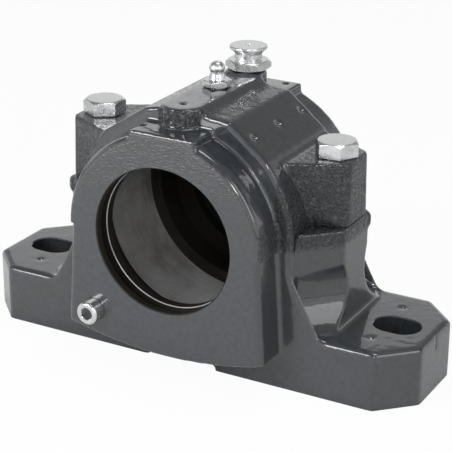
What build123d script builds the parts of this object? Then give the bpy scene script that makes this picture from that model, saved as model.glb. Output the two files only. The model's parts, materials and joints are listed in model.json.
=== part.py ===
from build123d import *
import math
import os

# Split plummer block housing for a bearing on a horizontal shaft.
# X runs along the foot, Y along the shaft and Z up. The origin lies in the middle
# of the mounting face, straight below the shaft axis. All sizes are in millimetres.

# Foot
foot_length = 205.0
foot_width = 60.0
foot_height = 25.0
foot_corner_cut = 14.5
foot_edge_break = 1.1
slot_end_distance = 17.5
slot_length = 20.0
slot_width = 15.0
slot_edge_break = 0.6
relief_width = 32.0
relief_height = 2.0
foot_mark_end_distance = 22.0
foot_mark_side_distance = 13.5
drill_mark_diameter = 3.0
drill_mark_depth = 1.0
end_mark_width = 1.2
end_mark_height = 7.0

# Shaft axis, bearing seat and seal bores
centre_height = 60.0
seat_diameter = 90.0
seat_width = 41.0
chamber_diameter = 79.0
seal_bore_diameter = 62.0
seal_groove_diameter = 70.0
width_over_faces = 90.0
outer_land_width = 3.5
seal_groove_width = 4.4
inner_land_width = 4.3
inner_land_chamfer = 1.1

# Barrels that carry the seals
barrel_radius = 45.0
barrel_edge_break = 1.6
barrel_foot_half = 46.7
barrel_top_half = 43.8
barrel_corner_drop = 44.7
barrel_low_drop = 51.0

# Pads on the two barrels, with their heights above the shaft axis
front_pad_half = 15.2
front_pad_rise = 45.2
front_mark_x = 13.0
front_mark_y = 36.5
rear_pad_half = 17.2
rear_pad_rise = 45.7
rear_mark_x = 11.4
rear_mark_y = 40.6
pad_root_depth = 10.0

# Body between the barrels
wall_half = 50.2
wall_drop = 9.0
shoulder_reach = 64.0
shoulder_root_radius = 5.0

# Bolt pillars of the base
ear_joint_rise = 6.5
register_clearance = 0.3
pillar_end = 65.5
pillar_inner_inset = 3.4
pillar_outer_inset = 18.4
pillar_band_drop = 9.0
pillar_root_reach = 63.0
pillar_root_inner_inset = 0.8
pillar_root_end = 67.0
pillar_root_outer_inset = 10.0
lug_proud = 1.4
lug_root_depth = 4.0
lug_height = 5.6
lug_width = 5.0
lug_joint_distance = 0.5

# Cap, with its heights above the shaft axis; the flank with the marks stands
# further out than the plain one
cap_rear_y = 22.8
cap_side_half = 50.5
flank_bottom_x = 38.9
flank_bottom_rise = 36.2
flank_top_x = 22.5
flank_top_rise = 49.7
band_inner_x = 11.4
band_inner_rise = 51.0
plain_flank_bottom_x = 36.6
plain_flank_bottom_rise = 36.9
plain_flank_top_x = 16.8
plain_flank_top_rise = 49.8
plain_band_inner_x = 9.4
plain_band_inner_rise = 51.4
side_bulge = 52.0
plain_side_bulge = 50.9
ridge_half = 8.7
ridge_bevel = 0.8
ridge_rise = 53.5
ridge_end_y = 27.2
flank_mark_middle = -2.4
flank_mark_spacing = 20.7
flank_mark_diameter = 4.2
flank_mark_shift = 0.7

# Ears of the cap under the bolt heads; half widths at the end and near the body
ear_top_rise = 33.5
ear_end = 65.0
ear_inner_x = 41.8
ear_root_x = 36.0
ear_top_end_half = 8.0
ear_joint_end_half = 9.3
ear_top_inner_half = 21.0
ear_joint_inner_half = 16.6
ear_lug_side_extra = 1.9
ear_corner_cut = 1.6

# Cap bolts
bolt_spacing = 110.4
bolt_diameter = 10.0
bolt_clearance = 1.0
thread_clearance = 0.2
bolt_head_flats = 16.0
bolt_head_height = 6.4
bolt_length = 50.0
bolt_end_space = 3.0
left_head_turn = 33.3
right_head_turn = 4.4

# Dowel pins
pin_diameter = 4.0
pin_length = 14.0
pin_x = 53.5
pin_y = 10.0
pin_clearance = 0.1
pin_end_space = 1.0

# Threaded plug in the front face
plug_x = -33.3
plug_z = 23.0
plug_diameter = 10.0
plug_length = 15.0
plug_proud = 6.0
plug_socket_flats = 5.0
plug_socket_depth = 5.0
plug_edge_break = 0.9
plug_end_space = 1.0

# Cone head grease nipple; its heights are above the ridge
nipple_y = 0.4
nipple_thread_diameter = 8.0
nipple_thread_length = 6.0
nipple_flats = 11.0
nipple_hex_height = 3.0
nipple_waist_height = 5.6
nipple_shoulder_height = 7.4
nipple_rim_height = 8.2
nipple_height = 10.4
nipple_head_diameter = 6.6
nipple_waist_diameter = 4.8
nipple_tip_diameter = 3.5
nipple_turn = 38.6
nipple_bore_diameter = 2.9
nipple_mouth_diameter = 1.7
nipple_ball_diameter = 2.3

# Button head nipple; its heights are above its boss
button_y = 27.5
button_boss_y = 25.6
button_boss_height = 1.0
button_boss_diameter = 17.8
button_thread_diameter = 10.0
button_thread_length = 9.0
button_flats = 17.0
button_hex_height = 3.9
button_neck_height = 6.8
button_rim_height = 8.6
button_height = 10.0
button_head_diameter = 16.0
button_neck_diameter = 11.8
button_turn = 23.2
button_bore_diameter = 4.4
button_mouth_diameter = 2.6
button_ball_diameter = 3.6

# Check valves in both nipples
valve_mouth_depth = 0.6
valve_seat_gap = 0.05
crimp_height = 1.0
spring_turns = 3
spring_clearance = 0.25
nipple_spring_wire = 0.35
button_spring_wire = 0.5

# Plain cover that closes the rear shaft bore
cover_clearance = 0.3
cover_side_play = 0.2
cover_rim_width = 4.0
cover_dish_depth = 1.2

# How far a cutting shape runs past the surface that it cuts, and how near two places
# count as the same
overrun = 1.0
near = 0.01

# Heights and places that follow from the sizes above
face_y = width_over_faces / 2
slot_x = foot_length / 2 - slot_end_distance
joint_height = centre_height + ear_joint_rise
ear_top_height = centre_height + ear_top_rise
ridge_height = centre_height + ridge_rise
boss_height = ridge_height + button_boss_height
front_pad_height = centre_height + front_pad_rise
rear_pad_height = centre_height + rear_pad_rise


def box_between(x0, x1, y0, y1, z0, z1):
    centre = ((x0 + x1) / 2, (y0 + y1) / 2, (z0 + z1) / 2)
    return Pos(*centre) * Box(abs(x1 - x0), abs(y1 - y0), abs(z1 - z0))


def upright(diameter, z0, z1, x=0.0, y=0.0):
    return Pos(x, y, z0) * Cylinder(
        diameter / 2, z1 - z0, align=(Align.CENTER, Align.CENTER, Align.MIN)
    )


def along_shaft(outline, y0, y1):
    """A closed outline in the XZ plane, made solid from y0 to y1."""
    return extrude(Plane((0, y1, 0), x_dir=(1, 0, 0), z_dir=(0, -1, 0)) * make_face(outline),
                   amount=y1 - y0)


def turned(points):
    """A turned solid about Z from (radius, height) points."""
    return revolve(Plane.XZ * make_face(Polyline(*points, close=True)), Axis.Z)


def hexagon(flats, height, turn):
    corner_radius = flats / math.sqrt(3)
    return extrude(Rot(0, 0, turn) * RegularPolygon(corner_radius, 6), amount=height)


def drill_mark(x, y, z, diameter=drill_mark_diameter):
    """A small pointed dimple that marks a place for drilling."""
    radius = diameter / 2
    spread = radius * overrun / drill_mark_depth
    return Pos(x, y, z) * turned([(0, -drill_mark_depth), (radius + spread, overrun),
                                  (0, overrun)])


def both_ends(shape):
    """The shape and its twin, turned half round, at the other end of the foot."""
    return [shape, Rot(0, 0, 180) * shape]


def bearing_hollow():
    """Seat, grease chambers, seal grooves and shaft bores, turned about the shaft."""
    outer = face_y - outer_land_width
    inner = outer - seal_groove_width
    chamber = inner - inner_land_width
    seat = seat_width / 2
    bore = seal_bore_diameter / 2
    half = [
        (bore, face_y + overrun), (bore, outer), (seal_groove_diameter / 2, outer),
        (seal_groove_diameter / 2, inner), (bore + inner_land_chamfer, inner),
        (bore, inner - inner_land_chamfer), (bore, chamber),
        (chamber_diameter / 2, chamber), (chamber_diameter / 2, seat), (seat_diameter / 2, seat),
    ]
    other_half = [(radius, -along) for radius, along in reversed(half)]
    solid = turned([(0, face_y + overrun)] + half + other_half + [(0, -face_y - overrun)])
    return Pos(0, 0, centre_height) * Rot(-90, 0, 0) * solid


# Base

def foot_and_wall():
    """The solid feet and the wall that rises from them to the split."""
    half = foot_length / 2
    right = [
        (half, 0), (half, foot_height), (shoulder_reach, foot_height),
        (wall_half, centre_height - wall_drop), (wall_half, centre_height),
    ]
    left = [(-x, z) for x, z in reversed(right)]
    outline = make_face(Polyline(*(right + left), close=True))
    roots = [
        v for v in outline.vertices()
        if abs(abs(v.X) - shoulder_reach) < near and abs(v.Y - foot_height) < near
    ]
    outline = fillet(roots, shoulder_root_radius)
    wall = extrude(Plane.XZ * outline, amount=foot_width / 2, both=True)
    plan = chamfer(Rectangle(foot_length, foot_width).vertices(), foot_corner_cut)
    return wall & extrude(plan, amount=centre_height)


def pillar_plan(reach, end, inner_half, outer_half):
    inner_x = barrel_top_half
    right = [(inner_x, inner_half), (reach, inner_half), (end, outer_half)]
    return make_face(Polyline(*right, *[(x, -y) for x, y in reversed(right)], close=True))


def pillar():
    """The right bolt pillar: a vertical band over a root that spreads to the foot."""
    register = cap_side_half + register_clearance
    side = foot_width / 2
    band_bottom = centre_height - pillar_band_drop
    band_plan = pillar_plan(register, pillar_end, side - pillar_inner_inset,
                            side - pillar_outer_inset)
    root_plan = pillar_plan(pillar_root_reach, pillar_root_end, side - pillar_root_inner_inset,
                            side - pillar_root_outer_inset)
    root = loft([Pos(0, 0, foot_height) * root_plan, Pos(0, 0, band_bottom) * band_plan],
                ruled=True)
    band = extrude(Pos(0, 0, band_bottom) * band_plan, amount=joint_height - band_bottom)
    band -= box_between(0, register, -foot_width, foot_width, centre_height,
                        joint_height + overrun)
    return root + band


def lug():
    """The raised tell-tale on the rear face of the right pillar, just below the joint."""
    outer_half = foot_width / 2 - pillar_outer_inset
    inner_half = foot_width / 2 - pillar_inner_inset
    run = pillar_end - (cap_side_half + register_clearance)
    turn = math.degrees(math.atan2(run, inner_half - outer_half))
    top = joint_height - lug_joint_distance
    block = box_between(-lug_width / 2, lug_width / 2, -lug_root_depth, lug_proud,
                        top - lug_height, top)
    place = Pos(pillar_end - lug_width / 2 * math.sin(math.radians(turn)),
                outer_half + lug_width / 2 * math.cos(math.radians(turn)), 0)
    return place * Rot(0, 0, turn - 90) * block


def base_barrel():
    """The lower halves of both seal barrels, drafted and with a bowed underside."""
    corner_z = centre_height - barrel_corner_drop
    sides = Polyline(
        (-barrel_foot_half, corner_z), (-barrel_top_half, centre_height),
        (barrel_top_half, centre_height), (barrel_foot_half, corner_z),
    )
    underside = ThreePointArc(
        (barrel_foot_half, corner_z), (0, centre_height - barrel_low_drop),
        (-barrel_foot_half, corner_z),
    )
    barrel = along_shaft(sides + underside, -face_y, face_y)
    rims = [
        e for e in barrel.edges()
        if abs(abs(e.center().Y) - face_y) < near
        and corner_z < e.center().Z < centre_height - near
    ]
    return chamfer(rims, barrel_edge_break)


def slot_cut(x):
    """A slotted bolt hole through the foot, with its upper edge broken."""
    shape = SlotOverall(slot_length, slot_width)
    cut = extrude(Pos(x, 0, -overrun) * shape, amount=foot_height + 2 * overrun)
    rim = loft([
        Pos(x, 0, foot_height - slot_edge_break) * shape,
        Pos(x, 0, foot_height) * offset(shape, slot_edge_break),
    ])
    return cut + rim


def base_holes():
    """Tapped holes for the cap bolts and the plug, dowel holes and cast-in marks."""
    thread = bolt_diameter + thread_clearance
    depth = ear_top_height - bolt_length - bolt_end_space
    pin_hole = pin_diameter + pin_clearance
    cuts = []
    for side in (-1, 1):
        cuts.append(upright(thread, depth, joint_height + overrun, side * bolt_spacing / 2))
        cuts.append(upright(pin_hole, joint_height - pin_length / 2 - pin_end_space,
                            joint_height + overrun, side * pin_x, side * pin_y))
        for y in (-1, 1):
            cuts.append(drill_mark(side * (foot_length / 2 - foot_mark_end_distance),
                                   y * (foot_width / 2 - foot_mark_side_distance), foot_height))
        cuts.append(Pos(side * foot_length / 2, 0, foot_height - end_mark_height / 2)
                    * Rot(0, 0, 45) * Box(end_mark_width, end_mark_width, end_mark_height))
    plug_hole = upright(plug_diameter + thread_clearance, -overrun,
                        plug_length - plug_proud + plug_end_space)
    cuts.append(Pos(plug_x, -face_y, plug_z) * Rot(-90, 0, 0) * plug_hole)
    return cuts


def make_base():
    body = foot_and_wall()
    top_rim = [
        e for e in body.edges()
        if abs(e.center().Z - foot_height) < near and abs(e.center().X) > shoulder_reach
        and (e.center().X**2 > (foot_length / 2 - foot_corner_cut)**2
             or abs(abs(e.center().Y) - foot_width / 2) < near)
    ]
    body = chamfer(top_rim, foot_edge_break)
    body += both_ends(pillar())
    body += base_barrel()
    body += both_ends(lug())
    body -= bearing_hollow()
    body -= [slot_cut(slot_x), slot_cut(-slot_x)]
    body -= box_between(-relief_width / 2, relief_width / 2, -foot_width, foot_width,
                        -overrun, relief_height)
    body -= base_holes()
    return body


# Cap

def half_shell(side, crown, bulge_half):
    """One side of the shell's outline, from the split up to the top of the ridge."""
    foot = (side * cap_side_half, centre_height)
    shoulder = (side * cap_side_half, joint_height)
    rise = (joint_height + crown[0][1]) / 2 - centre_height
    bulge = (side * math.sqrt(bulge_half**2 - rise**2), centre_height + rise)
    return Line(foot, shoulder) + ThreePointArc(shoulder, bulge, crown[0]) + Polyline(*crown)


def cap_body():
    """The shell over the seat: ridge, shallow bands, flanks and rounded sides."""
    marked = [
        (flank_bottom_x, centre_height + flank_bottom_rise),
        (flank_top_x, centre_height + flank_top_rise),
        (band_inner_x, centre_height + band_inner_rise), (ridge_half, ridge_height),
    ]
    plain = [
        (-plain_flank_bottom_x, centre_height + plain_flank_bottom_rise),
        (-plain_flank_top_x, centre_height + plain_flank_top_rise),
        (-plain_band_inner_x, centre_height + plain_band_inner_rise),
        (-ridge_half + ridge_bevel, ridge_height),
    ]
    outline = half_shell(1, marked, side_bulge) + Line(marked[-1], plain[-1])
    outline += half_shell(-1, plain, plain_side_bulge)
    outline += Line((-cap_side_half, centre_height), (cap_side_half, centre_height))
    return along_shaft(outline, -foot_width / 2, cap_rear_y)


def cap_barrel():
    """The upper halves of both seal barrels, each with a flat pad on top."""
    arch = Pos(0, 0, centre_height) * Rot(90, 0, 0) * Cylinder(barrel_radius, width_over_faces)
    arch = chamfer(arch.edges().filter_by(GeomType.CIRCLE).group_by(Axis.Y)[0],
                   barrel_edge_break)
    arch &= box_between(-foot_length, foot_length, -foot_width, foot_width,
                        centre_height, 2 * centre_height)
    front_pad = box_between(-front_pad_half, front_pad_half, -face_y, 0,
                            front_pad_height - pad_root_depth, front_pad_height)
    rear_pad = box_between(-rear_pad_half, rear_pad_half, 0, face_y,
                           rear_pad_height - pad_root_depth, rear_pad_height)
    return arch + [front_pad, rear_pad]


def ear_plan(end_half, inner_half):
    """The right ear seen from above, a little wider on the side of the tell-tale lug."""
    spread = (inner_half - end_half) / (ear_end - ear_inner_x)
    root_half = inner_half + spread * (ear_inner_x - ear_root_x)
    rear = ear_lug_side_extra
    slant = ear_corner_cut * spread
    return make_face(Polyline(
        (ear_root_x, -root_half), (ear_end - ear_corner_cut, -end_half - slant),
        (ear_end, -end_half + ear_corner_cut), (ear_end, end_half + rear - ear_corner_cut),
        (ear_end - ear_corner_cut, end_half + rear + slant), (ear_root_x, root_half + rear),
        close=True,
    ))


def ear():
    """The right ear, drafted from the joint up to the seat of the bolt head."""
    foot_plan = ear_plan(ear_joint_end_half, ear_joint_inner_half)
    top_plan = ear_plan(ear_top_end_half, ear_top_inner_half)
    block = loft([Pos(0, 0, joint_height) * foot_plan, Pos(0, 0, ear_top_height) * top_plan],
                 ruled=True)
    return block


def cap_holes():
    """Bolt, dowel and nipple holes, and the drilling marks."""
    cuts = []
    for side in (-1, 1):
        cuts.append(upright(bolt_diameter + bolt_clearance, centre_height,
                            ear_top_height + overrun, side * bolt_spacing / 2))
        cuts.append(upright(pin_diameter + pin_clearance, joint_height - overrun,
                            joint_height + pin_length / 2 + pin_end_space,
                            side * pin_x, side * pin_y))
    cuts.append(upright(nipple_thread_diameter + thread_clearance, centre_height,
                        ridge_height + overrun, 0, nipple_y))
    cuts.append(upright(button_thread_diameter + thread_clearance, centre_height,
                        boss_height + overrun, 0, button_y))
    cuts.append(drill_mark(0, -ridge_end_y, ridge_height))
    cuts.append(drill_mark(-front_mark_x, -front_mark_y, front_pad_height))
    cuts.append(drill_mark(rear_mark_x, rear_mark_y, rear_pad_height))
    slope = math.atan2(flank_top_rise - flank_bottom_rise, flank_bottom_x - flank_top_x)
    mark_x = (flank_bottom_x + flank_top_x) / 2 - flank_mark_shift * math.cos(slope)
    mark_z = centre_height + (flank_bottom_rise + flank_top_rise) / 2
    mark_z += flank_mark_shift * math.sin(slope)
    for step in (-1, 0, 1):
        y = flank_mark_middle + step * flank_mark_spacing
        mark = drill_mark(0, 0, 0, flank_mark_diameter)
        cuts.append(Pos(mark_x, y, mark_z) * Rot(0, math.degrees(slope), 0) * mark)
    return cuts


def make_cap():
    body = cap_body()
    body += cap_barrel()
    body += upright(2 * ridge_half, front_pad_height - overrun, ridge_height, 0, -ridge_end_y)
    body += upright(button_boss_diameter, rear_pad_height - overrun, boss_height,
                    0, button_boss_y)
    body += both_ends(ear())
    body -= bearing_hollow()
    body -= cap_holes()
    return body


# Fasteners

def make_bolt(side, turn):
    head = hexagon(bolt_head_flats, bolt_head_height, turn)
    shank = upright(bolt_diameter, -bolt_length, 0)
    return Pos(side * bolt_spacing / 2, 0, ear_top_height) * (head + shank)


def make_pin(side):
    pin = upright(pin_diameter, -pin_length / 2, pin_length / 2)
    return Pos(side * pin_x, side * pin_y, joint_height) * pin


def make_plug():
    plug = upright(plug_diameter, -plug_length, 0)
    plug = chamfer(plug.edges().filter_by(GeomType.CIRCLE).sort_by(Axis.Z)[-1], plug_edge_break)
    plug -= Pos(0, 0, -plug_socket_depth) * hexagon(
        plug_socket_flats, plug_socket_depth + overrun, 0)
    return Pos(plug_x, -face_y - plug_proud, plug_z) * Rot(90, 0, 0) * plug


# Nipples with their check valves

def mouth_height(top, bore, mouth):
    """Height at which the valve bore starts to narrow towards its mouth."""
    return top - valve_mouth_depth - (bore - mouth) / 2


def ball_centre(top, bore, mouth, ball):
    """The ball hangs just clear of the cone that it closes."""
    cone_apex = mouth_height(top, bore, mouth) + bore / 2
    return cone_apex - (ball / 2 + valve_seat_gap) * math.sqrt(2)


def valve_bore(top, bore, mouth, bottom):
    """The stepped hole of a check valve, with a cone that its ball closes from below."""
    return turned([
        (0, top + overrun), (mouth / 2, top + overrun), (mouth / 2, top - valve_mouth_depth),
        (bore / 2, mouth_height(top, bore, mouth)), (bore / 2, bottom + crimp_height),
        (mouth / 2, bottom + crimp_height), (mouth / 2, bottom - overrun),
        (0, bottom - overrun),
    ])


def valve_ball(top, bore, mouth, ball):
    return Pos(0, 0, ball_centre(top, bore, mouth, ball)) * Sphere(ball / 2)


def valve_spring(top, bore, mouth, bottom, ball, wire):
    """The coil that holds the ball up; its ends stop just short of ball and crimp."""
    coil_radius = bore / 2 - spring_clearance - wire / 2
    low = bottom + crimp_height + wire / 2 + valve_seat_gap
    reach = ball / 2 + wire / 2 + valve_seat_gap
    high = ball_centre(top, bore, mouth, ball) - math.sqrt(reach**2 - min(coil_radius, reach)**2)
    coil = Helix((high - low) / spring_turns, high - low, coil_radius, center=(0, 0, low))
    section = Plane(coil @ 0, z_dir=coil % 0) * RegularPolygon(wire / 2, 4)
    return sweep(section, path=coil, is_frenet=True)


nipple_valve = (nipple_height, nipple_bore_diameter, nipple_mouth_diameter)
button_valve = (button_height, button_bore_diameter, button_mouth_diameter)
nipple_place = Pos(0, nipple_y, ridge_height)
button_place = Pos(0, button_y, boss_height)


def make_grease_nipple():
    head = nipple_head_diameter / 2
    waist = nipple_waist_diameter / 2
    body = hexagon(nipple_flats, nipple_hex_height, nipple_turn)
    body += turned([
        (0, 0), (head, 0), (head, nipple_hex_height), (waist, nipple_waist_height),
        (head, nipple_shoulder_height), (head, nipple_rim_height),
        (nipple_tip_diameter / 2, nipple_height), (0, nipple_height),
    ])
    body += upright(nipple_thread_diameter, -nipple_thread_length, 0)
    body -= valve_bore(*nipple_valve, -nipple_thread_length)
    return nipple_place * body


def make_button_nipple():
    head = button_head_diameter / 2
    neck = button_neck_diameter / 2
    body = hexagon(button_flats, button_hex_height, button_turn)
    body += turned([
        (0, 0), (neck, 0), (neck, button_neck_height), (head, button_rim_height),
        (head, button_height), (0, button_height),
    ])
    body += upright(button_thread_diameter, -button_thread_length, 0)
    body -= valve_bore(*button_valve, -button_thread_length)
    return button_place * body


def make_end_cover():
    """A plain dished disc held in the rear seal groove."""
    groove_outer = face_y - outer_land_width
    low = groove_outer - seal_groove_width + cover_side_play
    high = groove_outer - cover_side_play
    rim = seal_groove_diameter / 2 - cover_clearance
    disc = turned([
        (0, low), (rim, low), (rim, high), (rim - cover_rim_width, high),
        (rim - cover_rim_width, high - cover_dish_depth), (0, high - cover_dish_depth),
    ])
    return Pos(0, 0, centre_height) * Rot(-90, 0, 0) * disc


pieces = {
    "base": make_base,
    "cap": make_cap,
    "cap_bolt_left": lambda: make_bolt(-1, left_head_turn),
    "cap_bolt_right": lambda: make_bolt(1, right_head_turn),
    "dowel_pin_left": lambda: make_pin(-1),
    "dowel_pin_right": lambda: make_pin(1),
    "face_plug": make_plug,
    "end_cover": make_end_cover,
    "grease_nipple": make_grease_nipple,
    "grease_nipple_ball": lambda: nipple_place * valve_ball(*nipple_valve, nipple_ball_diameter),
    "grease_nipple_spring": lambda: nipple_place * valve_spring(
        *nipple_valve, -nipple_thread_length, nipple_ball_diameter, nipple_spring_wire),
    "button_nipple": make_button_nipple,
    "button_nipple_ball": lambda: button_place * valve_ball(*button_valve, button_ball_diameter),
    "button_nipple_spring": lambda: button_place * valve_spring(
        *button_valve, -button_thread_length, button_ball_diameter, button_spring_wire),
}

os.makedirs("parts", exist_ok=True)
for name, build in pieces.items():
    export_step(build(), "parts/" + name + ".step")
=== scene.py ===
import json
import math

import bpy
from mathutils import Matrix, Vector


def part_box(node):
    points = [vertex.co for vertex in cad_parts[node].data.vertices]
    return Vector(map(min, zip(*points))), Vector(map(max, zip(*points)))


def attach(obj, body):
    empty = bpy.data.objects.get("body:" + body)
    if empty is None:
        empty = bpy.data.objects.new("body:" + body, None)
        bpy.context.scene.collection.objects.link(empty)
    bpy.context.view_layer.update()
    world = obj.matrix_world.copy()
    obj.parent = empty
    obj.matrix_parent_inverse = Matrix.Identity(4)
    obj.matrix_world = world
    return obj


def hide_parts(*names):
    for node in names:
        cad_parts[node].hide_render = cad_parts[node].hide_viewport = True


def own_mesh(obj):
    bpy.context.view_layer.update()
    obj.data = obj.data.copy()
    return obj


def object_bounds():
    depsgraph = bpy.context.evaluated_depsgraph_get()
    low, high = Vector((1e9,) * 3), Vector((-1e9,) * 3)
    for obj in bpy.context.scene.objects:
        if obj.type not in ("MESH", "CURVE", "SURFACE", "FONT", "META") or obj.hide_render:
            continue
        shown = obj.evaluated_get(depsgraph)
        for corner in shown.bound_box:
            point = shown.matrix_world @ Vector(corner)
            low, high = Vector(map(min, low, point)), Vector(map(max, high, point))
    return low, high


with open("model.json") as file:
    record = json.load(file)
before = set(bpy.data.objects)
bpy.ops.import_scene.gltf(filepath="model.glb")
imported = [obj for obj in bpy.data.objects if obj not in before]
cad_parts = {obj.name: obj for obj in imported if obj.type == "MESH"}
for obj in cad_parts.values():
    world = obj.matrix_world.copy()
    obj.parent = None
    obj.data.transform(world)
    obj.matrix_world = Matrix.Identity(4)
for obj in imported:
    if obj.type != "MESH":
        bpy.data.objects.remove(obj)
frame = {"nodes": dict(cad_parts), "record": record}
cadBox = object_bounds()
nodes = frame["nodes"]
seatMount = [m for m in frame["record"]["mounts"] if m["name"] == "bearing_seat"][0]
shaftHeight = seatMount["pos_m"][2]
print("frame loaded,", len(nodes), "nodes")


# ways of working on a mesh, used by all pieces

onePoint = 2e-6  # points nearer than this are merged
sliver = 4e-6  # what is thinner than this is taken away after cuts and bevels


def pickOnly(piece):
    if bpy.context.object and bpy.context.object.mode != "OBJECT":
        bpy.ops.object.mode_set(mode="OBJECT")
    bpy.ops.object.select_all(action="DESELECT")
    piece.hide_set(False)
    piece.select_set(True)
    bpy.context.view_layer.objects.active = piece


def startEdit(piece, selectMode="FACE"):
    pickOnly(piece)
    bpy.ops.object.mode_set(mode="EDIT")
    bpy.ops.mesh.select_mode(type=selectMode)


def endEdit():
    bpy.ops.object.mode_set(mode="OBJECT")


def mergePoints(piece, distance=onePoint):
    # leaves the piece in edit mode with all of it selected
    startEdit(piece, "VERT")
    bpy.ops.mesh.select_all(action="SELECT")
    bpy.ops.mesh.remove_doubles(threshold=distance)


def pickFaces(piece, test):
    # leaves the piece in edit mode with only the faces selected whose centre and normal pass
    startEdit(piece)
    bpy.ops.mesh.select_all(action="DESELECT")
    endEdit()
    for face in piece.data.polygons:
        face.select = bool(test(face.center, face.normal))
    bpy.ops.object.mode_set(mode="EDIT")


def pickPoints(piece, test):
    startEdit(piece, "VERT")
    bpy.ops.mesh.select_all(action="DESELECT")
    endEdit()
    for point in piece.data.vertices:
        point.select = bool(test(point.co))
    bpy.ops.object.mode_set(mode="EDIT")


def extend(piece, test, move):
    pickFaces(piece, test)
    bpy.ops.mesh.extrude_region_move(TRANSFORM_OT_translate={"value": move})
    endEdit()


def applied(piece, kind, **settings):
    pickOnly(piece)
    modifier = piece.modifiers.new(kind.title(), kind)
    for key, value in settings.items():
        setattr(modifier, key, value)
    bpy.ops.object.modifier_apply(modifier=modifier.name)


def settle(piece):
    # puts the place and turn of the object into its mesh
    pickOnly(piece)
    bpy.ops.object.transform_apply(location=True, rotation=True, scale=True)


def copyOfNode(nodeName, name):
    piece = bpy.data.objects.new(name, nodes[nodeName].data.copy())
    piece.data.name = name
    bpy.context.scene.collection.objects.link(piece)
    mergePoints(piece)
    endEdit()
    return piece


def joined(piece, others):
    pickOnly(piece)
    for other in others:
        other.select_set(True)
    bpy.ops.object.join()
    return piece


def block(name, low, high):
    middle = [(a + b) / 2 for a, b in zip(low, high)]
    bpy.ops.mesh.primitive_cube_add(size=1, location=middle)
    piece = bpy.context.object
    piece.name = piece.data.name = name
    piece.scale = [b - a for a, b in zip(low, high)]
    settle(piece)
    return piece


def rod(name, radius, start, length, direction="Z", sides=32, turn=0.0):
    bpy.ops.mesh.primitive_cylinder_add(vertices=sides, radius=radius, depth=length)
    piece = bpy.context.object
    piece.name = piece.data.name = name
    tilt = {"Z": (0, 0, turn), "Y": (-math.pi / 2, 0, 0), "X": (0, math.pi / 2, 0)}[direction]
    piece.rotation_euler = tilt
    along = {"Z": (0, 0, 1), "Y": (0, 1, 0), "X": (1, 0, 0)}[direction]
    piece.location = Vector(start) + Vector(along) * (length / 2)
    settle(piece)
    return piece


def turnedPiece(name, outline, direction="Z", steps=96):
    # outline holds (radius, distance along the axis) pairs, drawn point by point and spun
    axis = {"Z": Vector((0, 0, 1)), "Y": Vector((0, 1, 0))}[direction]
    points = [Vector((r, 0, 0)) + axis * t for r, t in outline]
    bpy.ops.mesh.primitive_plane_add(size=0.001)
    piece = bpy.context.object
    piece.name = piece.data.name = name
    startEdit(piece, "VERT")
    bpy.ops.mesh.select_all(action="SELECT")
    bpy.ops.mesh.merge(type="CENTER")
    bpy.ops.mesh.select_all(action="SELECT")
    bpy.ops.transform.translate(value=points[0])
    for before, after in zip(points, points[1:]):
        bpy.ops.mesh.extrude_vertices_move(TRANSFORM_OT_translate={"value": after - before})
    bpy.ops.mesh.select_all(action="SELECT")
    bpy.ops.mesh.spin(steps=steps, angle=2 * math.pi, center=(0, 0, 0), axis=axis)
    endEdit()
    mergePoints(piece)
    bpy.ops.mesh.normals_make_consistent(inside=False)
    endEdit()
    return piece


def arc(centreR, centreT, radius, start, end, count=6):
    # points of a rounded stretch of an outline, angles in degrees from the radial direction
    angles = [math.radians(start + (end - start) * i / count) for i in range(count + 1)]
    return [(centreR + radius * math.cos(a), centreT + radius * math.sin(a)) for a in angles]


def combine(piece, other, operation, coat=None):
    if coat:
        other.data.materials.clear()
        other.data.materials.append(coat)
    applied(piece, "BOOLEAN", object=other, operation=operation, solver="EXACT",
            material_mode="TRANSFER")
    bpy.data.objects.remove(other)


def cut(piece, cutter, coat=None):
    combine(piece, cutter, "DIFFERENCE", coat)


def cleaned(piece):
    mergePoints(piece, sliver)
    bpy.ops.mesh.dissolve_degenerate(threshold=sliver)
    endEdit()


def smoothShade(piece, degrees):
    pickOnly(piece)
    bpy.ops.object.shade_smooth_by_angle(angle=math.radians(degrees))


# materials

class Signal:
    # one output of a node, which can be used in sums and products
    def __init__(self, finish, socket):
        self.finish = finish
        self.socket = socket

    def math(self, operation, first, second=0.0):
        return self.finish.node("ShaderNodeMath", {"operation": operation}, {0: first, 1: second})

    def __add__(self, other):
        return self.math("ADD", self, other)

    def __sub__(self, other):
        return self.math("SUBTRACT", self, other)

    def __rsub__(self, other):
        return self.math("SUBTRACT", other, self)

    def __mul__(self, other):
        return self.math("MULTIPLY", self, other)

    def __abs__(self):
        return self.math("ABSOLUTE", self)

    def larger(self, other):
        return self.math("MAXIMUM", self, other)


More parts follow.
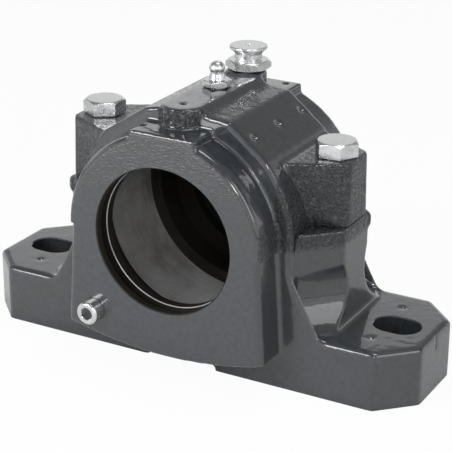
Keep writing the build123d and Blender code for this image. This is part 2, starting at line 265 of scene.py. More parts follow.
class Finish:
    # a material or world and the nodes that make it
    def __init__(self, name, holder=None):
        self.material = holder or bpy.data.materials.new(name)
        self.material.use_nodes = True
        self.tree = self.material.node_tree
        self.tree.nodes.clear()

    def node(self, kind, settings=None, values=None, output=0):
        made = self.tree.nodes.new(kind)
        for key, value in (settings or {}).items():
            setattr(made, key, value)
        for key, value in (values or {}).items():
            socket = made.inputs[key]
            if isinstance(value, Signal):
                self.tree.links.new(value.socket, socket)
            else:
                socket.default_value = value
        return Signal(self, made.outputs[output])

    def place(self):
        return self.node("ShaderNodeTexCoord", output="Object")

    def split(self, vector):
        first = self.node("ShaderNodeSeparateXYZ", values={"Vector": vector})
        return [Signal(self, socket) for socket in first.socket.node.outputs]

    def stretched(self, vector, scale):
        return self.node("ShaderNodeMapping", values={"Vector": vector, "Scale": scale})

    def noise(self, vector, scale, detail=2.0, roughness=0.5):
        return self.node("ShaderNodeTexNoise", values={
            "Vector": vector, "Scale": scale, "Detail": detail, "Roughness": roughness})

    def between(self, value, low, high, newLow=0.0, newHigh=1.0):
        # a smooth slope from newLow to newHigh, falling where low is the larger
        return self.node("ShaderNodeMapRange", {"interpolation_type": "SMOOTHSTEP"}, {
            "Value": value, "From Min": low, "From Max": high, "To Min": newLow, "To Max": newHigh})

    def blend(self, factor, first, second):
        return self.node("ShaderNodeMix", {"data_type": "RGBA"}, {
            "Factor": factor, 6: (*first, 1), 7: (*second, 1)}, output=2)

    def bump(self, height, distance):
        return self.node("ShaderNodeBump", values={
            "Height": height, "Distance": distance, "Strength": 1.0})

    def end(self, shader, kind="ShaderNodeOutputMaterial"):
        made = self.tree.nodes.new(kind)
        self.tree.links.new(shader.socket, made.inputs["Surface"])

    def surface(self, **values):
        names = {key.replace("_", " "): value for key, value in values.items()}
        self.end(self.node("ShaderNodeBsdfPrincipled", values=names))
        return self.material


# heights of the bumps are in millimetres, where bumpUnit is one
paint = {
    "dark": (0.021, 0.0255, 0.031), "light": (0.031, 0.037, 0.044), "bumpUnit": 0.001,
    "roughness": (0.28, 0.42), "coat": 1.0, "coatRoughness": 0.05, "coatIor": 1.6,
    "grainScale": 1500, "grain": 0.014,
    "peelScale": 520, "peel": 0.035, "patchPeel": 0.8, "allPeel": 0.35,
    "ripple": (420, 800, 1100), "rippleHeight": 0.6, "patchRipple": 0.1,
    "sandScale": 600, "sandRange": (0.35, 0.68), "sand": 1.1, "patchSand": 0.07,
    "lumpScale": 560, "lumpRange": (0.42, 0.6), "band": 1.3, "boss": 1.6,
    "pitCoat": 0.85, "bandPits": 0.4, "patchScale": 45, "patchRange": (0.52, 0.66),
}
# where the casting skin is coarse, as the start and the end of each slope, with the two
# strengths where they aren't 0 and 1
coarse = {
    "earSide": (0.0425, 0.0445), "earHeight": (0.0585, 0.0625),
    "earEnd": (0.0715, 0.0735, 1.0, 0.3),
    "rightBand": (0.0112, 0.0128), "rightBandEnd": (0.0222, 0.0208),
    "leftBand": (-0.0102, -0.0116), "leftBandEnd": (-0.0166, -0.0154),
    "bandHeight": (0.1085, 0.1094), "bandFront": (-0.0275, -0.0255),
    "bossFront": (-0.0262, -0.0285), "bossSide": (0.0105, 0.0095),
    "bossHeight": (0.1052, 0.1065), "bossTop": (0.1131, 0.1122),
    "faceFront": (-0.0444, -0.0449), "faceHeight": (0.068, 0.094),
}


def castPaint():
    finish = Finish("castPaint")
    place = finish.place()
    x, y, z = finish.split(place)
    side = abs(x)

    def within(*limits):
        masks = [finish.between(value, *coarse[name]) for value, name in limits]
        product = masks[0]
        for mask in masks[1:]:
            product = product * mask
        return product

    # ears and pillar tops, the two bands beside the ridge, the round front of the ridge and
    # the upper part of the front face
    ear = within((side, "earSide"), (z, "earHeight"), (side, "earEnd"))
    band = within((x, "rightBand"), (x, "rightBandEnd")).larger(
        within((x, "leftBand"), (x, "leftBandEnd")))
    band = band * within((z, "bandHeight")) * within((y, "bandFront"))
    boss = within((y, "bossFront"), (side, "bossSide"), (z, "bossHeight"), (z, "bossTop"))
    face = within((y, "faceFront"), (z, "faceHeight"))
    patches = finish.between(finish.noise(place, paint["patchScale"], 2), *paint["patchRange"])

    grain = finish.noise(place, paint["grainScale"], 2, 0.5)
    peel = finish.noise(place, paint["peelScale"], 2, 0.45)
    sand = finish.between(finish.noise(place, paint["sandScale"], 3, 0.6), *paint["sandRange"])
    lumps = finish.between(finish.noise(place, paint["lumpScale"], 2, 0.5), *paint["lumpRange"])
    ripple = finish.noise(finish.stretched(place, paint["ripple"]), 1.0, 2, 0.5)
    height = grain * paint["grain"] + \
        peel * (patches * paint["patchPeel"] + paint["allPeel"]) * paint["peel"]
    height = height + sand * (ear + patches * paint["patchSand"]) * paint["sand"]
    height = height + lumps * (band * paint["band"] + boss * paint["boss"])
    height = height + ripple * (face + patches * paint["patchRipple"]) * paint["rippleHeight"]
    colour = finish.blend(finish.between(peel * 0.6 + grain * 0.4, 0.35, 0.65),
                          paint["dark"], paint["light"])
    # the pits of the coarse skin hold less paint and shine less
    pits = (1 - sand) * ear + (1 - lumps) * (band * paint["bandPits"] + boss)
    return finish.surface(
        Base_Color=colour,
        Roughness=finish.between(peel + patches * 0.2, 0.3, 0.8, *paint["roughness"]),
        Coat_Weight=paint["coat"] - pits * paint["pitCoat"],
        Coat_Roughness=paint["coatRoughness"], Coat_IOR=paint["coatIor"],
        Normal=finish.bump(height, paint["bumpUnit"]))


machining = {"dark": (0.42, 0.41, 0.395), "light": (0.80, 0.795, 0.80), "metallic": 0.15,
             "ringScale": 2600, "ringHeight": 0.00001, "stainScale": 38,
             "seatBottom": (0.03, 0.012), "roughness": (0.24, 0.42)}


def machinedIron():
    finish = Finish("machinedIron")
    place = finish.place()
    along = finish.stretched(place, (6, machining["ringScale"], 6))
    rings = finish.noise(along, 1.0, 2, 0.5)
    stain = finish.noise(place, machining["stainScale"], 4, 0.6)
    # the seat is painted lighter towards its bottom, a painted sheen
    low = finish.between(finish.split(place)[2], *machining["seatBottom"])
    colour = finish.blend(finish.between(stain + low * 0.4, 0.35, 0.8),
                          machining["dark"], machining["light"])
    return finish.surface(
        Base_Color=colour, Metallic=machining["metallic"],
        Roughness=finish.between(rings * 0.4 + stain * 0.6, 0.35, 0.7, *machining["roughness"]),
        Normal=finish.bump(rings, machining["ringHeight"]))


oiledShade = {"dark": (0.012, 0.011, 0.009), "light": (0.03, 0.027, 0.022), "roughness": (0.4, 0.6),
         "shine": 0.3, "stainScale": 70, "skinScale": 1300, "skinHeight": 0.00004}


def darkIron():
    # near black iron for the grooves, chambers and holes: its own oiled tone together with painted
    # shade of the deep hollows
    finish = Finish("darkIron")
    place = finish.place()
    stain = finish.noise(place, oiledShade["stainScale"], 4, 0.6)
    skin = finish.noise(place, oiledShade["skinScale"], 2, 0.5)
    return finish.surface(
        Base_Color=finish.blend(stain, oiledShade["dark"], oiledShade["light"]),
        Roughness=finish.between(stain, 0.3, 0.7, *oiledShade["roughness"]),
        Specular_IOR_Level=oiledShade["shine"],
        Normal=finish.bump(skin, oiledShade["skinHeight"]))


plating = {"zincPlate": ((0.64, 0.65, 0.66), (0.80, 0.805, 0.81)),
           "dullZinc": ((0.36, 0.375, 0.39), (0.50, 0.515, 0.53)),
           "cloudScale": 260, "speckScale": 2200, "roughness": (0.24, 0.32), "height": 0.00001}


def zincPlate(name):
    finish = Finish(name)
    place = finish.place()
    cloud = finish.noise(place, plating["cloudScale"], 1, 0.5)
    speck = finish.noise(place, plating["speckScale"], 3, 0.6)
    colour = finish.blend(finish.between(cloud * 0.75 + speck * 0.25, 0.3, 0.7), *plating[name])
    return finish.surface(
        Base_Color=colour, Metallic=1.0,
        Roughness=finish.between(cloud, 0.3, 0.7, *plating["roughness"]),
        Normal=finish.bump(cloud * 0.6 + speck * 0.1, plating["height"]))


steel = {"dark": (0.42, 0.42, 0.42), "light": (0.6, 0.6, 0.59), "roughness": (0.18, 0.3),
         "scratchScale": (3000, 3000, 200), "scratch": 0.000004}


def groundSteel():
    finish = Finish("groundSteel")
    place = finish.place()
    scratch = finish.noise(finish.stretched(place, steel["scratchScale"]), 1.0, 3, 0.6)
    return finish.surface(
        Base_Color=finish.blend(scratch, steel["dark"], steel["light"]), Metallic=1.0,
        Roughness=finish.between(scratch, 0.3, 0.7, *steel["roughness"]),
        Normal=finish.bump(scratch, steel["scratch"]))


plastic = {"dark": (0.006, 0.006, 0.006), "light": (0.014, 0.014, 0.014),
           "roughness": (0.4, 0.55), "grainScale": 2600, "cloudScale": 90, "grain": 0.00003}


def blackPlastic():
    finish = Finish("blackPlastic")
    place = finish.place()
    grain = finish.noise(place, plastic["grainScale"], 3, 0.6)
    cloud = finish.noise(place, plastic["cloudScale"], 3, 0.5)
    return finish.surface(
        Base_Color=finish.blend(cloud, plastic["dark"], plastic["light"]),
        Roughness=finish.between(grain * 0.5 + cloud * 0.5, 0.3, 0.7, *plastic["roughness"]),
        Normal=finish.bump(grain, plastic["grain"]))


paints = {"cast": castPaint(), "machined": machinedIron(), "dark": darkIron(),
          "zinc": zincPlate("zincPlate"), "dullZinc": zincPlate("dullZinc"),
          "steel": groundSteel(), "plastic": blackPlastic()}
print("materials made")


def wear(piece, paintName):
    piece.data.materials.clear()
    piece.data.materials.append(paints[paintName])


# base and cap. Each is filled and given spare stock, rounded as a casting is, and then machined

castForm = {"baseVoxel": 0.00072, "capVoxel": 0.00064, "passes": 15, "strength": 0.5,
            "wave": 0.00006, "waveSize": 0.003, "smoothAngle": 32,
            "stock": 0.004, "earStock": 0.0004,  # on the ears so little that their edges round too
            "spare": 0.0006}  # how much wider a fill is than its hole
joint = {"barrel": shaftHeight, "ear": 0.0665, "side": 0.0505, "gap": 0.0003}
bolt = {"x": (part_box("cap_bolt_right")[0].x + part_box("cap_bolt_right")[1].x) / 2,
        "seat": 0.0935, "hole": 0.0055, "thread": 0.0051, "bottom": 0.0405,
        "fill": 0.006, "fillBottom": 0.03}
slot = {"x": 0.085, "radius": 0.0075, "half": 0.0025, "edge": 0.0005, "top": 0.025,
        "below": 0.002, "above": 0.001, "fill": (0.0115, 0.009)}
pin = {"x": 0.0535, "y": 0.010, "radius": 0.00205, "half": 0.008,
       "baseFill": 0.01, "capFill": 0.012}
plug = {"x": -0.0333, "z": 0.023, "radius": 0.0051, "end": 0.010, "outside": 0.005,
        "fillFront": -0.0448, "fillLength": 0.012}
nippleHole = {"grease": (0.0004, 0.0041, 0.1135), "button": (0.0275, 0.0051, 0.1145)}
inside = {"fill": 0.1, "nipple": 0.09, "bolt": 0.05}  # heights inside the cap, to cut up from
reach = {"foot": 0.2, "cap": 0.1, "side": 0.1, "top": 0.12, "below": 0.01, "hole": 0.05,
         "bolt": 0.06, "nipple": 0.03, "mark": 0.01}  # past the outside of what is cut
mark = {"radius": 0.00145, "depth": 0.0013, "waist": (0.55, 0.62), "rim": 0.12,
        "spread": 0.0006, "over": 0.001}
endMark = {"radius": 0.00085, "bottom": 0.018}
footMark = {"x": 0.0805, "y": 0.0165, "radius": 0.0008, "sunk": 0.0004}
flankMark = {"x": 0.0301, "z": 0.10340, "middle": -0.0024, "step": 0.0207, "slope": 39.5,
             "radius": 0.0017}
topMarks = ((0, -0.0272, 0.1133), (-0.013, -0.0365, 0.105), (0.0114, 0.0406, 0.1055))
hollow = {"face": 0.045, "outer": 0.0415, "inner": 0.0371, "chamber": 0.0328, "seat": 0.0205,
          "bore": 0.031, "groove": 0.035, "chamberRadius": 0.0395, "seatRadius": 0.045,
          "edge": 0.0005, "landChamfer": 0.0003, "past": 0.001, "steps": 128}


def hollowTool():
    # turns the hollow out of base and cap together, as on the machine
    h = hollow
    half = [
        (h["bore"] + h["edge"] + h["past"], h["face"] + h["past"]),
        (h["bore"], h["face"] - h["edge"]), (h["bore"], h["outer"]), (h["groove"], h["outer"]),
        (h["groove"], h["inner"]), (h["bore"] + h["landChamfer"], h["inner"]),
        (h["bore"], h["inner"] - h["landChamfer"]), (h["bore"], h["chamber"]),
        (h["chamberRadius"], h["chamber"]), (h["chamberRadius"], h["seat"]),
        (h["seatRadius"], h["seat"])]
    mirrored = [(r, -y) for r, y in reversed(half)]
    outline = [(0, h["face"] + h["past"])] + half + mirrored + [(0, -h["face"] - h["past"])]
    tool = turnedPiece("hollowTool", outline, "Y", h["steps"])
    tool.rotation_euler = (0, math.pi / h["steps"], 0)  # keeps its edges off the joint's plane
    tool.location = (0, 0, shaftHeight)
    settle(tool)
    # faces off the seat and the land chamfer take the near black iron, painted shade in the grooves
    # and chambers as well as oiled iron
    for name in ("machined", "dark"):
        tool.data.materials.append(paints[name])
    for face in tool.data.polygons:
        radius = math.hypot(face.center.x, face.center.z - shaftHeight)
        deep = abs(face.center.y)
        onSeat = radius > h["seatRadius"] - 0.001 and deep < h["seat"]
        onLand = radius < h["bore"] + h["landChamfer"] and \
            h["inner"] - h["landChamfer"] < deep < h["inner"]
        face.material_index = 0 if onSeat or onLand else 1
    return tool


def hollowFill(name):
    # fills the hollow while the casting is rounded, a little short of the two faces
    h = hollow
    spare = castForm["spare"]
    parts = [rod(name, radius + spare, (0, -half - spare, shaftHeight), 2 * (half + spare), "Y", 64)
             for radius, half in ((h["seatRadius"], h["seat"]), (h["chamberRadius"], h["chamber"]),
                                  (h["groove"], h["outer"]))]
    parts.append(rod(name, h["bore"] + h["edge"] + spare, (0, -h["face"], shaftHeight),
                     2 * h["face"], "Y", 64))
    return joined(parts[0], parts[1:])


def addStock(piece, way):
    # on the faces of the joint, which look up on the base and down on the cap
    for height, more in ((joint["barrel"], castForm["stock"]),
                         (joint["ear"], castForm["earStock"])):
        extend(piece, lambda c, n: n.z * way > 0.99 and abs(c.z - height) < 0.0005,
               (0, 0, way * more))


def rounded(piece, voxel):
    # the skin of the casting: all edges and corners rounded, then a slight unevenness
    applied(piece, "REMESH", mode="VOXEL", voxel_size=voxel, adaptivity=0.0)
    applied(piece, "SMOOTH", factor=castForm["strength"], iterations=castForm["passes"])
    wave = bpy.data.textures.new("castWave", "CLOUDS")
    wave.noise_scale = castForm["waveSize"]
    wave.noise_depth = 1
    applied(piece, "DISPLACE", texture=wave, texture_coords="LOCAL",
            strength=castForm["wave"], mid_level=1.0)


def slotTool(side):
    over = slot["edge"] + slot["above"]
    piece = rod("slotTool", slot["radius"], (side * slot["x"], 0, -slot["below"]),
                slot["top"] - slot["edge"] + slot["below"], "Z", 48)
    pickFaces(piece, lambda c, n: n.z > 0.9)
    bpy.ops.mesh.extrude_region_move(TRANSFORM_OT_translate={"value": (0, 0, over)})
    grow = 1 + over / slot["radius"]
    bpy.ops.transform.resize(value=(grow, grow, 1), center_override=(side * slot["x"], 0, 0))
    endEdit()
    for way in (-1, 1):
        pickPoints(piece, lambda p: (p.x - side * slot["x"]) * way > 1e-5)
        bpy.ops.transform.translate(value=(way * slot["half"], 0, 0))
        endEdit()
    return piece


def markTool(place, turn=0.0, radius=mark["radius"]):
    # a pointed drill mark with its rim slightly rounded
    depth = mark["depth"]
    waistRadius, waistDepth = mark["waist"]
    outline = [(0, -depth), (radius * waistRadius, -depth * waistDepth),
               (radius, -depth * mark["rim"]), (radius + mark["spread"], mark["over"]),
               (0, mark["over"])]
    tool = turnedPiece("markTool", outline, steps=20)
    tool.rotation_euler = (0, math.radians(turn), 0)
    tool.location = place
    settle(tool)
    return tool


scoop = {"radius": 0.022, "out": 0.07716, "up": 0.0435, "along": (0.66, 0.75),
         "start": 0.005, "length": 0.037, "bottom": 0.0252, "top": 0.0524, "wall": 0.0509,
         "rim": 0.0282}


def scoopTool(sideX, sideY):
    # hollows the root of a pillar, behind the rim of the wall
    alongX, alongY = sideX * scoop["along"][0], -sideY * scoop["along"][1]
    outX, outY = sideX * scoop["along"][1], sideY * scoop["along"][0]
    tool = rod("scoopTool", scoop["radius"], (0, 0, 0), scoop["length"], "X", 160)
    tool.rotation_euler = (0, 0, math.atan2(alongY, alongX))
    tool.location = (outX * scoop["out"] + alongX * scoop["start"],
                     outY * scoop["out"] + alongY * scoop["start"], scoop["up"])
    settle(tool)
    low, high = sorted((sideX * scoop["wall"], sideX * reach["foot"]))
    combine(tool, block("scoopBand", (low, -scoop["rim"], scoop["bottom"]),
                        (high, scoop["rim"], scoop["top"])), "INTERSECT")
    return tool


def castBase():
    piece = copyOfNode("base", "castBase")
    for sideX in (-1, 1):
        for sideY in (-1, 1):
            cut(piece, scoopTool(sideX, sideY))
    stock, earStock, spare = castForm["stock"], castForm["earStock"], castForm["spare"]
    extend(piece, lambda c, n: n.z < -0.99 and c.z < 0.0005, (0, 0, -stock))
    addStock(piece, 1)
    fills = [hollowFill("baseFill"),
             rod("plugFill", plug["radius"] + spare, (plug["x"], plug["fillFront"], plug["z"]),
                 plug["fillLength"], "Y")]
    fillX, fillY = slot["fill"]
    for side in (-1, 1):
        fills.append(block("slotFill", (side * slot["x"] - fillX, -fillY, -stock),
                           (side * slot["x"] + fillX, fillY, slot["top"])))
        fills.append(rod("threadFill", bolt["fill"], (side * bolt["x"], 0, bolt["fillBottom"]),
                         joint["ear"] + earStock - bolt["fillBottom"]))
        fills.append(rod("pinFill", pin["radius"] + spare,
                         (side * pin["x"], side * pin["y"], joint["ear"] - pin["baseFill"]),
                         pin["baseFill"] + earStock))
    joined(piece, fills)
    rounded(piece, castForm["baseVoxel"])
    cut(piece, hollowTool())
    foot, wide, deep, top = reach["foot"], reach["cap"], reach["side"], reach["top"]
    cut(piece, block("under", (-foot, -deep, -reach["below"]), (foot, deep, 0)),
        paints["machined"])
    half = joint["side"] + joint["gap"]
    cut(piece, block("overBarrel", (-half, -deep, joint["barrel"]), (half, deep, top)),
        paints["cast"])
    cut(piece, block("overEar", (-wide, -deep, joint["ear"]), (wide, deep, top)),
        paints["cast"])
    # the plug, thread and pin holes take the near black iron, painted shade inside them as well as
    # oiled iron
    cut(piece, rod("plugHole", plug["radius"],
                   (plug["x"], -hollow["face"] - plug["outside"], plug["z"]),
                   plug["end"] + plug["outside"], "Y"), paints["dark"])
    for side in (-1, 1):
        cut(piece, slotTool(side), paints["cast"])
        cut(piece, rod("threadHole", bolt["thread"], (side * bolt["x"], 0, bolt["bottom"]),
                       reach["bolt"]), paints["dark"])
        cut(piece, rod("pinHole", pin["radius"],
                       (side * pin["x"], side * pin["y"], joint["ear"] - pin["half"]),
                       reach["hole"]), paints["dark"])
        cut(piece, rod("endMark", endMark["radius"], (side * cadBox[1].x, 0, endMark["bottom"]),
                       reach["mark"], "Z", 4), paints["cast"])
        for y in (-1, 1):
            cut(piece, markTool((side * footMark["x"], y * footMark["y"],
                                 slot["top"] - footMark["sunk"]), 0, footMark["radius"]),
                paints["cast"])
    return piece


def castCap():
    piece = copyOfNode("cap", "castCap")
    addStock(piece, -1)
    earStock, spare = castForm["earStock"], castForm["spare"]
    fills = [hollowFill("capFill")]
    for side in (-1, 1):
        fills.append(rod("boltFill", bolt["fill"], (side * bolt["x"], 0, joint["ear"] - earStock),
                         bolt["seat"] - joint["ear"] + earStock))
        fills.append(rod("pinFill", pin["radius"] + spare,
                         (side * pin["x"], side * pin["y"], joint["ear"] - earStock),
                         pin["capFill"] + earStock))
    for y, radius, top in nippleHole.values():
        fills.append(rod("nippleFill", radius + spare, (0, y, inside["fill"]),
                         top - inside["fill"]))
    joined(piece, fills)
    rounded(piece, castForm["capVoxel"])
    cut(piece, hollowTool())
    wide, deep = reach["cap"], reach["side"]
    cut(piece, block("underBarrel", (-wide, -deep, 0), (wide, deep, joint["barrel"])),
        paints["cast"])
    for side in (-1, 1):
        low, high = sorted((side * joint["side"], side * wide))
        cut(piece, block("underEar", (low, -deep, 0), (high, deep, joint["ear"])), paints["cast"])
    # the bolt, pin and nipple holes take the near black iron, painted shade inside them as well as
    # oiled iron
    for side in (-1, 1):
        cut(piece, rod("boltHole", bolt["hole"], (side * bolt["x"], 0, inside["bolt"]),
                       reach["bolt"]), paints["dark"])
        cut(piece, rod("pinHole", pin["radius"], (side * pin["x"], side * pin["y"], inside["bolt"]),
                       joint["ear"] + pin["half"] - inside["bolt"]), paints["dark"])
    for y, radius, top in nippleHole.values():
        cut(piece, rod("nippleHole", radius, (0, y, inside["nipple"]), reach["nipple"]),
            paints["dark"])
    for place in topMarks:
        cut(piece, markTool(place), paints["cast"])
    for step in (-1, 0, 1):
        y = flankMark["middle"] + step * flankMark["step"]
        cut(piece, markTool((flankMark["x"], y, flankMark["z"]), flankMark["slope"],
                            flankMark["radius"]), paints["cast"])
    return piece


for make, nodeName in ((castBase, "base"), (castCap, "cap")):
    piece = make()
    piece.data.materials[0] = paints["cast"]
    cleaned(piece)
    smoothShade(piece, castForm["smoothAngle"])
    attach(piece, "housing")
    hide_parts(nodeName)
    piece.data.calc_loop_triangles()
    print(piece.name, len(piece.data.loop_triangles), "triangles")


# zinc plated bolts, plug and nipples. Outlines are pairs of radius and height

smallForm = {"bevelAngle": 28, "segments": 2, "smoothAngle": 30, "crownAngle": 30,
             "crownTop": 0.95, "crownFoot": 0.97, "crownSpare": 0.0004}


def hexPrism(name, flats, low, high, turn, below=0.0):
    # a hexagon with its corners turned off at a flat angle, on top and if wanted below
    piece = rod(name, flats / math.sqrt(3), (0, 0, low), high - low, "Z", 6,
                math.radians(turn - 30))
    corner = flats / math.sqrt(3) + smallForm["crownSpare"]
    top, foot = flats / 2 * smallForm["crownTop"], flats / 2 * smallForm["crownFoot"]
    drop = (corner - top) * math.tan(math.radians(smallForm["crownAngle"]))
    lift = (corner - foot) * math.tan(math.radians(below))
    crown = turnedPiece("crown", [(0, low), (foot, low), (corner, low + lift),
                                  (corner, high - drop), (top, high), (0, high)], steps=72)
    combine(piece, crown, "INTERSECT")
    return piece


def softEdges(piece, width):
    cleaned(piece)
    applied(piece, "BEVEL", width=width, segments=smallForm["segments"], limit_method="ANGLE",
            angle_limit=math.radians(smallForm["bevelAngle"]))
    cleaned(piece)


def finished(piece, nodeName, place):
    piece.location = place
    settle(piece)
    wear(piece, "zinc")
    cleaned(piece)
    smoothShade(piece, smallForm["smoothAngle"])
    applied(piece, "WEIGHTED_NORMAL", keep_sharp=True)  # keeps the flats flat beside their edges
    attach(piece, "housing")
    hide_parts(nodeName)
    print(piece.name, "made")


boltHead = {"flats": 0.016, "height": 0.0064, "soft": 0.00016,
            "washer": 0.0073, "washerHeight": 0.0004, "overlap": 0.001,
            "shank": 0.00495, "length": 0.05, "threadLength": 0.026, "pitch": 0.0015,
            "threadDepth": 0.0007, "tip": 0.0005, "runOut": 0.0008,
            "turns": {"left": 33.3, "right": 4.4}}


def hexBolt(sideName, side):
    b = boltHead
    piece = hexPrism("hexBolt_" + sideName, b["flats"], b["washerHeight"], b["height"],
                     b["turns"][sideName])
    root = b["shank"] - b["threadDepth"]
    outline = [(0, -b["length"]), (root, -b["length"])]
    for i in range(int(b["threadLength"] / b["pitch"])):
        start = -b["length"] + b["tip"] + i * b["pitch"]
        outline += [(root, start), (b["shank"], start + b["pitch"] / 2)]
    outline += [(root, start + b["pitch"]), (b["shank"], start + b["pitch"] + b["runOut"]),
                (b["shank"], 0), (b["washer"], 0),
                (b["washer"], b["washerHeight"] + b["overlap"]),
                (0, b["washerHeight"] + b["overlap"])]
    combine(piece, turnedPiece("shank", outline, steps=48), "UNION")
    softEdges(piece, b["soft"])
    finished(piece, "cap_bolt_" + sideName, (side * bolt["x"], 0, bolt["seat"]))


plugForm = {"radius": 0.00495, "proud": 0.006, "length": 0.015, "edge": 0.0011, "tip": 0.0008,
            "socket": 0.005, "socketDepth": 0.005, "mouth": 0.0006, "rim": 0.0005}


def socketPlug():
    # turned standing up, then laid over so that the socket looks out of the front face
    p = plugForm
    outline = [(0, -p["length"]), (p["radius"] - p["tip"], -p["length"]),
               (p["radius"], -p["length"] + p["tip"])]
    outline += arc(p["radius"] - p["edge"], -p["edge"], p["edge"], 0, 90) + [(0, 0)]
    piece = turnedPiece("socketPlug", outline, steps=64)
    corner = p["socket"] / math.sqrt(3)
    cut(piece, rod("socket", corner, (0, 0, -p["socketDepth"]), p["socketDepth"] + 0.001, "Z", 6))
    cut(piece, turnedPiece("mouth", [
        (0, -p["mouth"]), (corner - p["mouth"], -p["mouth"]), (corner + p["mouth"], p["mouth"]),
        (0, p["mouth"])], steps=48))
    piece.rotation_euler = (math.pi / 2, 0, 0)
    front = -hollow["face"] - p["proud"]
    finished(piece, "face_plug", (plug["x"], front, plug["z"]))
    piece.data.materials.append(paints["dullZinc"])  # the socket's walls are painted in darker zinc, a painted shade inside the socket
    for face in piece.data.polygons:
        radius = math.hypot(face.center.x - plug["x"], face.center.z - plug["z"])
        deep = face.center.y - front
        if radius < corner and p["rim"] < deep < p["socketDepth"] + p["rim"]:
            face.material_index = 1


greaseForm = {"flats": 0.011, "low": 0.0003, "hex": 0.003, "turn": 38.6, "below": 30,
              "thread": 0.0039, "tip": 0.0005, "bottom": -0.006, "threadTop": 0.0008,
              "stem": 0.0032, "stemTop": 0.0050, "waist": [(0.0027, 0.0056), (0.0028, 0.0061)],
              "head": 0.0104, "crown": 0.0019, "soft": 0.0001,
              "ball": {"centreR": 0.0009, "centreT": 0.0079, "radius": 0.0024,
                       "start": -40, "end": 48, "count": 8},
              "bore": 0.00145, "mouth": 0.00085}
buttonForm = {"flats": 0.017, "low": 0.0002, "hex": 0.0039, "turn": 23.2, "below": 20,
              "thread": 0.0049, "tip": 0.0006, "bottom": -0.009, "threadTop": 0.001,
              "neck": 0.0058, "neckTop": 0.0066, "flare": 0.0071,
              "button": 0.008, "rim": 0.0087, "edge": 0.0004, "head": 0.01, "soft": 0.0001,
              "bore": 0.0022, "mouth": 0.0013}
valve = {"mouthDepth": 0.0006, "crimp": 0.001, "past": 0.001}


def valveBore(form):
    depth = form["head"] - valve["mouthDepth"]
    foot = form["bottom"] + valve["crimp"]
    above, under = form["head"] + valve["past"], form["bottom"] - valve["past"]
    return turnedPiece("valveBore", [
        (0, above), (form["mouth"], above), (form["mouth"], depth),
        (form["bore"], depth - (form["bore"] - form["mouth"])), (form["bore"], foot),
        (form["mouth"], foot), (form["mouth"], under), (0, under)], steps=40)


def nipple(name, nodeName, form, outline, steps, hole):
    # a turned stem through a hexagon, with the valve's bore down its middle
    f = form
    body = hexPrism(name, f["flats"], f["low"], f["hex"], f["turn"], f["below"])
    outline = [(0, f["bottom"]), (f["thread"] - f["tip"], f["bottom"]),
               (f["thread"], f["bottom"] + f["tip"]), (f["thread"], f["threadTop"])] + outline
    combine(body, turnedPiece("stem", outline, steps=steps), "UNION")
    cut(body, valveBore(f))
    softEdges(body, f["soft"])
    finished(body, nodeName, (0, hole[0], hole[2]))


def greaseNipple():
    g = greaseForm
    outline = [(g["stem"] + 0.0004, g["hex"] - 0.0002), (g["stem"] + 0.0001, g["hex"] + 0.0007),
               (g["stem"] - 0.0001, g["stemTop"])]
    outline += g["waist"] + arc(**g["ball"])
    outline += [(g["crown"] + 0.0002, g["head"] - 0.0003), (g["crown"], g["head"] - 0.0001),
                (g["crown"] - 0.0003, g["head"]), (0, g["head"])]
    nipple("greaseNipple", "grease_nipple", g, outline, 48, nippleHole["grease"])


def buttonNipple():
    b = buttonForm
    outline = [(b["neck"] + 0.0004, b["hex"] - 0.0004), (b["neck"] + 0.0004, b["hex"] + 0.0001),
               (b["neck"], b["hex"] + 0.0006), (b["neck"], b["neckTop"]),
               (b["neck"] + 0.0003, b["flare"]),
               (b["button"] - 0.0006, b["rim"] - 0.0003),
               (b["button"] - 0.0002, b["rim"] - 0.0001), (b["button"], b["rim"] + 0.0002)]
    outline += arc(b["button"] - b["edge"], b["head"] - b["edge"], b["edge"], 0, 90, 4)
    outline += [(0, b["head"])]
    nipple("buttonNipple", "button_nipple", b, outline, 72, nippleHole["button"])


hexBolt("left", -1)
hexBolt("right", 1)
socketPlug()
greaseNipple()
buttonNipple()

springs = {
    "grease_nipple_spring": {"name": "greaseSpring", "joint": "grease_nipple_valve_slide",
                             "travel": 0.0008},
    "button_nipple_spring": {"name": "buttonSpring", "joint": "button_nipple_valve_slide",
                             "travel": 0.0012},
}


def valveSpring(nodeName, name, joint, travel):
    # a steel copy of the spring node, carried with the housing
    piece = copyOfNode(nodeName, name)
    wear(piece, "steel")
    smoothShade(piece, 40)
    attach(piece, "housing")
    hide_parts(nodeName)
    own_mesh(piece)
    print(name, "made")


for nodeName, spring in springs.items():
    valveSpring(nodeName, **spring)

# the nodes that are shown as they are
keptPaints = {"end_cover": "plastic", "dowel_pin_left": "steel", "dowel_pin_right": "steel",
              "grease_nipple_ball": "steel", "button_nipple_ball": "steel"}
for nodeName, paintName in keptPaints.items():
    wear(nodes[nodeName], paintName)


# floor, lamps, sky and camera

floorForm = {"size": 6.0, "drop": 0.0002, "dark": (0.9, 0.9, 0.9), "light": (0.94, 0.94, 0.94),
             "grainScale": 500, "glow": 0.95}


def makeFloor():
    bpy.ops.mesh.primitive_plane_add(size=floorForm["size"],
                                     location=(0, 0, cadBox[0].z - floorForm["drop"]))
    floor = bpy.context.object
    floor.name = floor.data.name = "studioFloor"
    finish = Finish("floorPaper")
    grain = finish.noise(finish.place(), floorForm["grainScale"], 3, 0.5)
    matte = finish.node("ShaderNodeBsdfDiffuse", values={
        "Color": finish.blend(grain, floorForm["dark"], floorForm["light"])})
    glow = finish.node("ShaderNodeEmission", values={"Color": (1, 1, 1, 1), "Strength": 1.0})
    ray = finish.node("ShaderNodeLightPath", output="Is Camera Ray")
    finish.end(finish.node("ShaderNodeMixShader", values={
        0: ray * floorForm["glow"], 1: matte, 2: glow}))
    floor.data.materials.append(finish.material)


makeFloor()

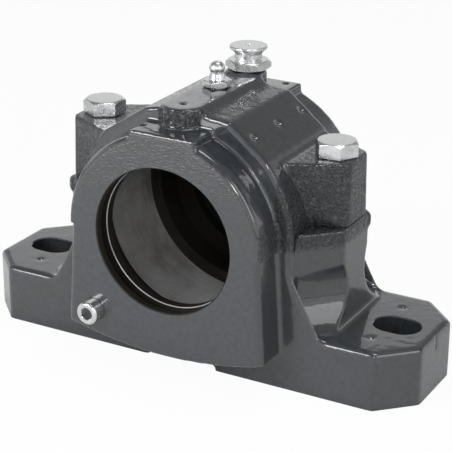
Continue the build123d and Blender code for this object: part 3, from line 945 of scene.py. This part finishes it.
lampAim = (0, 0, 0.05)
lamps = {
    "key": {"place": (-0.36, -0.64, 0.42), "size": (0.34, 0.34), "power": 4.0},
    "front": {"place": (0.47, -0.80, 0.52), "size": (0.16, 0.16), "power": 1.6},
    "top": {"place": (0.10, 0.10, 0.95), "size": (0.3, 0.3), "power": 1.9},
    "right": {"place": (0.80, -0.24, 0.52), "size": (0.4, 0.6), "power": 1.8},
    "back": {"place": (-0.55, 1.0, 0.52), "size": (0.6, 0.2), "power": 0.16},
}
for name, lamp in lamps.items():
    light = bpy.data.lights.new(name + "Lamp", "AREA")
    light.shape = "RECTANGLE"
    light.size, light.size_y = lamp["size"]
    light.energy = lamp["power"]
    holder = bpy.data.objects.new(name + "Lamp", light)
    holder.location = lamp["place"]
    aim = Vector(lampAim) - Vector(lamp["place"])
    holder.rotation_euler = aim.to_track_quat("-Z", "Y").to_euler()
    bpy.context.scene.collection.objects.link(holder)

sky = {"soft": 0.2, "background": 1.0, "overhead": 0.25, "lowEdge": 0.12, "highEdge": 0.48}


def makeSky():
    # white behind the object, and darker overhead for what shines
    world = bpy.data.worlds.new("studioSky")
    bpy.context.scene.world = world
    finish = Finish("studioSky", world)
    up = finish.split(finish.node("ShaderNodeTexCoord", output="Generated"))[2]
    shown = finish.between(up, sky["lowEdge"], sky["highEdge"], sky["background"], sky["overhead"])
    path = finish.node("ShaderNodeLightPath").socket.node.outputs
    camera, glossy, through = [Signal(finish, path[name]) for name in
                               ("Is Camera Ray", "Is Glossy Ray", "Is Transmission Ray")]
    clear = camera.larger(through)
    strength = (1 - clear) * (glossy * shown + (1 - glossy) * sky["soft"])
    strength = strength + clear * sky["background"]
    finish.end(finish.node("ShaderNodeBackground", values={
        "Color": (1, 1, 1, 1), "Strength": strength}), "ShaderNodeOutputWorld")


makeSky()

cameraForm = {"azimuth": 28.809, "elevation": 22.063, "roll": 0.402, "distance": 0.70097,
              "lens": 127.434, "sensor": 36, "aim": (-0.00492, 0.01774, 0.04421),
              "near": 0.01, "far": 20}


def makeCamera():
    azimuth, elevation = math.radians(cameraForm["azimuth"]), math.radians(cameraForm["elevation"])
    back = Vector((math.sin(azimuth) * math.cos(elevation),
                   -math.cos(azimuth) * math.cos(elevation), math.sin(elevation)))
    camera = bpy.data.objects.new("studioCamera", bpy.data.cameras.new("studioCamera"))
    camera.data.lens = cameraForm["lens"]
    camera.data.sensor_width = cameraForm["sensor"]
    camera.data.clip_start = cameraForm["near"]
    camera.data.clip_end = cameraForm["far"]
    turn = back.to_track_quat("Z", "Y").to_matrix().to_4x4()
    roll = Matrix.Rotation(math.radians(cameraForm["roll"]), 4, "Z")
    camera.matrix_world = Matrix.Translation(
        Vector(cameraForm["aim"]) + back * cameraForm["distance"]) @ turn @ roll
    bpy.context.scene.collection.objects.link(camera)
    bpy.context.scene.camera = camera


makeCamera()
bpy.context.scene.view_settings.view_transform = "Standard"

print("floor, lamps and camera made")
